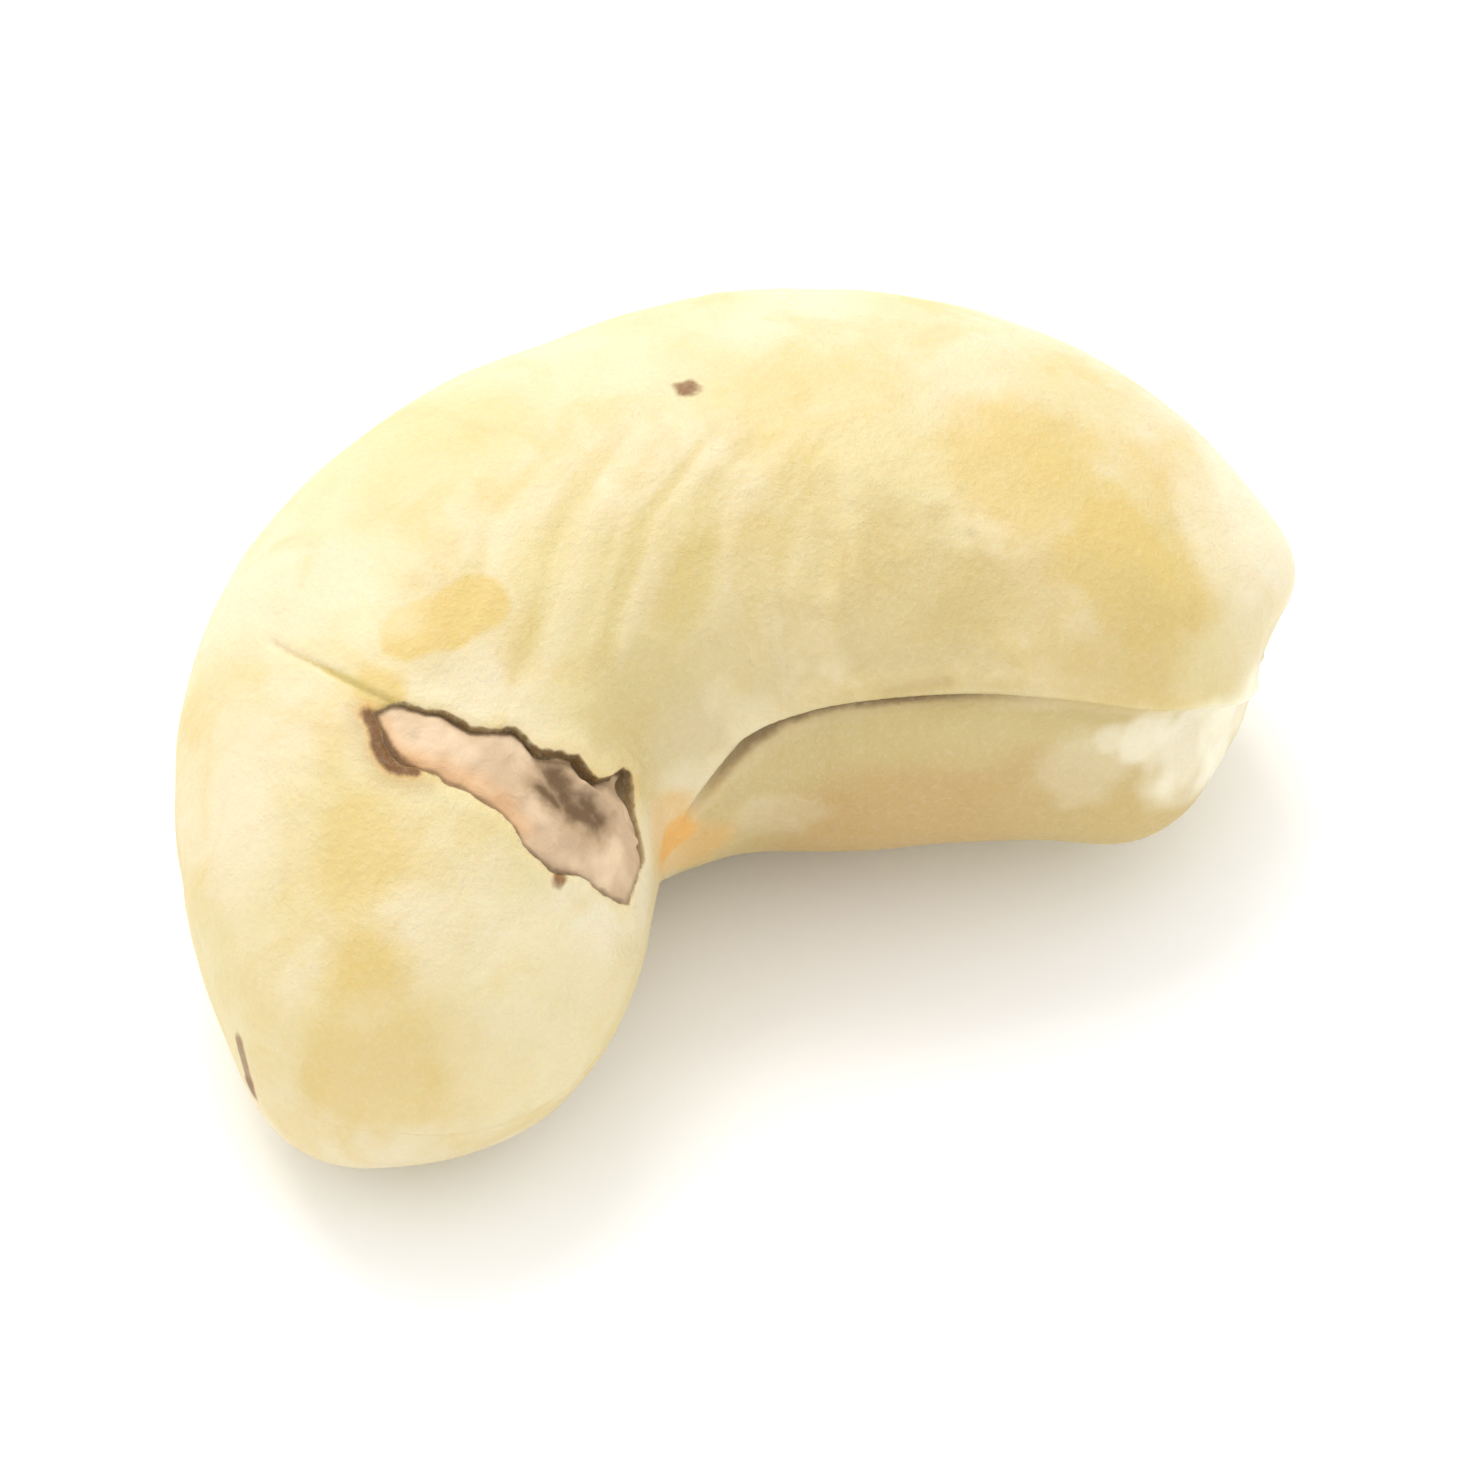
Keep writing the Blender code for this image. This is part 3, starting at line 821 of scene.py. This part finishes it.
class Finish:
    """A material with one Principled shader, whose other nodes come from add."""

    def __init__(self, name):
        self.material = bpy.data.materials.new(name)
        self.material.use_nodes = True
        self.tree = self.material.node_tree
        self.shader = self.tree.nodes["Principled BSDF"]
        place = self.add("ShaderNodeTexCoord", out="Object")
        self.place = self.add("ShaderNodeMapping", {}, {"Vector": place, "Scale": (1 / MM,) * 3})

    def plug(self, node, sockets):
        """Gives each named socket of a node its link or its value."""
        for name, value in sockets.items():
            if isinstance(value, Wire):
                self.tree.links.new(value.socket, node.inputs[name])
            else:
                node.inputs[name].default_value = value

    def add(self, kind, settings=None, sockets=None, out=0):
        """Adds a node, sets its settings and then its sockets, and returns one of its outputs."""
        node = self.tree.nodes.new(kind)
        for name, value in (settings or {}).items():
            setattr(node, name, value)
        self.plug(node, sockets or {})
        return Wire(self, node.outputs[out])

    def painted(self, name):
        """A number stored on the mesh by paint."""
        return self.add("ShaderNodeAttribute", {"attribute_name": name}, out="Fac")

    def cloud(self, size, detail=2.0, roughness=0.5, warp=0.0):
        """Noise from 0 to 1 with lumps of about that size in millimetres."""
        sockets = {"Vector": self.place, "Scale": 1 / size, "Detail": detail}
        sockets.update({"Roughness": roughness, "Distortion": warp})
        return self.add("ShaderNodeTexNoise", {}, sockets)

    def step(self, value, low, high):
        """0 where value is at low, 1 where it is at high, and a smooth rise between."""
        settings = {"interpolation_type": "SMOOTHSTEP"}
        return self.add("ShaderNodeMapRange", settings, {0: value, 1: low, 2: high})

    def blend(self, share, first, second):
        """One colour where share is 0 and another where it is 1."""
        settings = {"data_type": "RGBA"}
        return self.add("ShaderNodeMix", settings, {0: share, 6: first, 7: second}, out=2)

    def near(self, centre, radius):
        """A spot with a ragged edge: 1 round its centre, given in millimetres, and 0 past its radius."""
        settings = {"operation": "DISTANCE"}
        gap = self.add("ShaderNodeVectorMath", settings, {0: self.place, 1: centre}, out="Value")
        ragged = gap + 0.9 * radius * (self.cloud(0.3, 3.0) - 0.5)
        return self.step(ragged, radius, radius * 0.45)


# %% [markdown]
# ## The kernel's flesh
# Dried cashew flesh is pale cream and waxy, and light sinks into it, so it takes some subsurface
# scattering.
# Its colour is never even: it runs from ivory to gold in the toasted places, it is rubbed pale in
# others, and painted shade and highlights lie over it.
# A painted picture could hold all that, but a sum of noise and stored measures stays sharp close up.

# %% The flesh's colours
IVORY = (0.74, 0.637, 0.42, 1.0)
CREAM = (0.68, 0.57, 0.29, 1.0)
GOLD = (0.65, 0.48, 0.155, 1.0)
PAINTED_SHADE_OLIVE = (0.53, 0.41, 0.16, 1.0)
SCUFF_AND_HIGHLIGHT = (0.88, 0.83, 0.65, 1.0)
TAN = (0.52, 0.34, 0.13, 1.0)
CREASE_SHADE = (0.50, 0.36, 0.14, 1.0)
BROWN = (0.15, 0.085, 0.025, 1.0)
RIM_TAN = (0.34, 0.23, 0.09, 1.0)
BURNT = (0.15, 0.055, 0.006, 1.0)
SPECK = (0.20, 0.075, 0.01, 1.0)
ORANGE = (0.80, 0.43, 0.10, 1.0)
GREEN_GOLD = (0.60, 0.48, 0.15, 1.0)
# Each speck: its place, how far it reaches, and how dark it is.
SPECKS = (
    ((2.0, 2.25, 10.6), 0.36, 0.9),
    ((4.9, -3.7, 9.6), 0.26, 0.3),
    ((-12.1, -2.55, 3.1), 0.40, 1.0),
    ((-5.95, -4.35, 6.95), 0.26, 0.9),
)
print("specks:", len(SPECKS))

# %% [markdown]
# The broad colours come first, from noise and from the soft patches, each blended over what is there
# already. A blend's share says how much of the new colour shows.

# %% Lay the broad colours
flesh = Finish("kernel_flesh_waxy")
mottle = flesh.cloud(1.9, 4.0, 0.55, 0.6)
broad = flesh.cloud(4.5, 2.0)
colour = flesh.blend(flesh.step(broad, 0.35, 0.65), IVORY, CREAM)
colour = flesh.blend(flesh.step(mottle, 0.45, 0.7) * 0.45, colour, GOLD)
colour = flesh.blend(flesh.painted("golden") * 0.9, colour, GOLD)
# Painted shade on the faces turned from the lamp, mostly round the inside of the bend.
colour = flesh.blend(flesh.painted("painted_shade") * 0.7, colour, PAINTED_SHADE_OLIVE)
# Painted shade on the undercut lower leaf, and tan painted shade on its underside.
colour = flesh.blend(flesh.painted("lower_leaf") * 0.8, colour, PAINTED_SHADE_OLIVE)
colour = flesh.blend(flesh.painted("under") * 0.8, colour, TAN)
colour = flesh.blend(flesh.painted("stain") * 0.95, colour, ORANGE)
# Painted shade in the folds.
colour = flesh.blend(flesh.painted("crease") * 0.4, colour, CREASE_SHADE)
# Painted highlight on the rib ridges and painted shade in their grooves.
rib_rise = flesh.painted("rib")
colour = flesh.blend(flesh.step(rib_rise, 0.05, 0.5) * 0.35, colour, IVORY)
colour = flesh.blend(flesh.step(rib_rise, -0.05, -0.5) * 0.35, colour, GREEN_GOLD)
oval_mm = flesh.painted("oval") + 0.35 * (flesh.cloud(0.8, 3.0) - 0.5)
colour = flesh.blend(flesh.step(oval_mm, 0.72, 0.5) * 0.85, colour, GOLD)
# Pale scuffs, with painted highlights on some lit places and in the shaded crook.
pale_mottle = 0.8 + 0.2 * flesh.step(flesh.cloud(1.2, 4.0, 0.55), 0.38, 0.62)
colour = flesh.blend(flesh.painted("pale") * pale_mottle, colour, SCUFF_AND_HIGHLIGHT)
print("flesh nodes so far:", len(flesh.tree.nodes))

# %% [markdown]
# Over the broad colours go the lines. The seams and the dent above the seam get a line of painted
# shade, the split's rim is torn brown skin with painted shade along it, and here and there is a speck of
# skin that the peeler missed. A little noise is added to each distance before it is cut off, so that no
# line has an even width.

# %% Lay the lines and specks
# Painted shade lines: in the seam's groove under the upper leaf's lip, in the dent above it and in the
# back seam.
seam_gap = abs(flesh.painted("seam") - 0.06 + 0.10 * (flesh.cloud(0.4, 3.0) - 0.5))
seam_open = flesh.painted("seam_open")
colour = flesh.blend(flesh.step(seam_gap, 0.34, 0.08) * seam_open * 0.5, colour, CREASE_SHADE)
colour = flesh.blend(flesh.step(seam_gap, 0.18, 0.06) * seam_open * 0.85, colour, BROWN)
colour = flesh.blend(flesh.step(flesh.painted("lip_line"), 0.25, 0.04) * 0.4, colour, CREASE_SHADE)
colour = flesh.blend(flesh.step(flesh.painted("back_seam"), 0.25, 0.05) * 0.35, colour, CREASE_SHADE)
crack_gap = flesh.painted("crack") + 0.08 * (flesh.cloud(0.3, 3.0) - 0.5)
colour = flesh.blend(flesh.step(crack_gap, 0.14, 0.03) * 0.85, colour, GREEN_GOLD)

inside_mm = flesh.painted("inside") + 0.08 * (flesh.cloud(0.22, 3.0) - 0.5)
burnt_mm = flesh.painted("burnt") + 0.30 * (flesh.cloud(0.45, 4.0) - 0.5)
colour = flesh.blend(flesh.step(inside_mm, -0.30, -0.03) * 0.15, colour, ORANGE)
colour = flesh.blend(flesh.step(burnt_mm, 0.75, 0.15) * 0.45, colour, TAN)
colour = flesh.blend(flesh.step(burnt_mm, 0.30, 0.10) * 0.3, colour, ORANGE)
colour = flesh.blend(flesh.step(burnt_mm, 0.20, 0.03) * 0.95, colour, BURNT)
# The torn rim: brown skin, with painted shade under the flesh's edge, darkest along the upper side.
rim = flesh.step(inside_mm + 0.08 * (flesh.cloud(0.7) - 0.5), -0.05, 0.01)
colour = flesh.blend(rim * 0.9, colour, RIM_TAN)
colour = flesh.blend(rim * flesh.painted("rim_dark") * 0.95, colour, BROWN)
scratch_mm = flesh.painted("scratch") + 0.2 * (flesh.cloud(0.4, 3.0) - 0.5)
colour = flesh.blend(flesh.step(scratch_mm, 0.26, 0.12) * 0.8, colour, SPECK)
for place, radius, darkness in SPECKS:
    colour = flesh.blend(flesh.near(place, radius) * darkness, colour, SPECK)
print("flesh nodes so far:", len(flesh.tree.nodes))

# %% [markdown]
# Last comes the surface. Dried flesh is satin, with a fine powdery grain that catches the light. That
# is too fine for the mesh, so it is a bump, and the same grain lightens the colour a little.

# %% Give the flesh its grain
grain = flesh.cloud(0.14, 4.0, 0.65)
soft = flesh.cloud(0.8, 2.0, 0.45)
height = grain * 0.5 + soft
bump = flesh.add("ShaderNodeBump", {}, {"Height": height, "Distance": 0.12 * MM, "Strength": 0.9})
colour = flesh.blend(flesh.step(grain, 0.45, 0.75) * 0.10, colour, SCUFF_AND_HIGHLIGHT)
flesh.plug(
    flesh.shader,
    {
        "Base Color": colour,
        "Roughness": 0.42 + 0.16 * mottle,
        "Normal": bump,
        "IOR": 1.46,
        "Subsurface Weight": 0.30,
        "Subsurface Radius": (1.0, 0.55, 0.22),
        "Subsurface Scale": 1.1 * MM,
    },
)
kernel.data.materials.append(flesh.material)
print("flesh nodes:", len(flesh.tree.nodes))

# %% [markdown]
# ## The testa's finish
# Dry testa is pinkish brown and dull as paper, with darker blotches where it was thicker, a rusty
# stain along its lower edge, and a burnt line at the split's scorched end. Painted shade lies in the
# troughs of its folds, and the dark line along its torn edges is torn skin with painted shade where the
# flesh laps over it. It lies close on the flesh, so no light has to pass through it.

# %% Colour the scrap
PINK_BEIGE = (0.56, 0.40, 0.25, 1.0)
PINK_PALE = (0.74, 0.56, 0.37, 1.0)
TAN_SKIN_AND_SHADE = (0.42, 0.28, 0.155, 1.0)
UMBER = (0.13, 0.07, 0.025, 1.0)
RUST = (0.68, 0.36, 0.14, 1.0)

testa = Finish("testa_papery")
fibre = testa.cloud(0.35, 4.0, 0.6, 1.2)
paper = testa.blend(testa.step(testa.cloud(0.9, 2.0), 0.35, 0.65), PINK_BEIGE, PINK_PALE)
paper = testa.blend(testa.step(fibre, 0.5, 0.7) * 0.25, paper, PINK_PALE)
# Painted shade in the troughs of the folds.
paper = testa.blend(testa.step(testa.painted("fold"), 0.02, -0.12) * 0.7, paper, TAN_SKIN_AND_SHADE)
rust_mm = testa.painted("rust") + 0.5 * (testa.cloud(0.5, 3.0) - 0.5)
paper = testa.blend(testa.step(rust_mm, 0.75, 0.1) * 0.6, paper, RUST)
blotch = testa.painted("blotch") + 0.5 * (testa.cloud(0.16, 4.0, 0.6) - 0.5)
paper = testa.blend(testa.step(blotch, -0.6, 0.4) * 0.75, paper, TAN_SKIN_AND_SHADE)
paper = testa.blend(testa.step(blotch, 0.1, 1.0) * 0.95, paper, UMBER)
scorch = testa.painted("burnt") + 0.30 * (testa.cloud(0.45, 4.0) - 0.5)
paper = testa.blend(testa.step(scorch, 0.5, 0.1) * 0.5, paper, RUST)
paper = testa.blend(testa.step(scorch, 0.20, 0.03) * 0.95, paper, BURNT)
# A dark line along the torn edges: torn skin, with painted shade where the flesh laps over it.
torn_edge = testa.painted("from_edge") + 0.10 * (testa.cloud(0.25, 3.0) - 0.5)
rim_dark = testa.painted("rim_dark")
paper = testa.blend(testa.step(torn_edge, 0.40, 0.05) * rim_dark * 0.35, paper, TAN_SKIN_AND_SHADE)
paper = testa.blend(testa.step(torn_edge, 0.20, 0.09) * rim_dark * 0.95, paper, UMBER)
paper_bump = testa.add(
    "ShaderNodeBump", {}, {"Height": fibre, "Distance": 0.06 * MM, "Strength": 0.8}
)
testa.plug(testa.shader, {"Base Color": paper, "Roughness": 0.72, "Normal": paper_bump})
scrap.data.materials.append(testa.material)
print("testa nodes:", len(testa.tree.nodes))

# %% [markdown]
# ## The floor's finish
# A plain matt white, with nothing on it to draw the eye.

# %% Colour the floor
white = Finish("white_floor")
white.plug(white.shader, {"Base Color": (0.97, 0.97, 0.96, 1.0), "Roughness": 0.9})
floor.data.materials.append(white.material)
print("materials:", flesh.material.name, testa.material.name, white.material.name)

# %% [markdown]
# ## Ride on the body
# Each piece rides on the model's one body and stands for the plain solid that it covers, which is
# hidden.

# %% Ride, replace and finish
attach(kernel, "root")
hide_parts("kernel")
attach(scrap, "root")
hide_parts("testa_scrap")
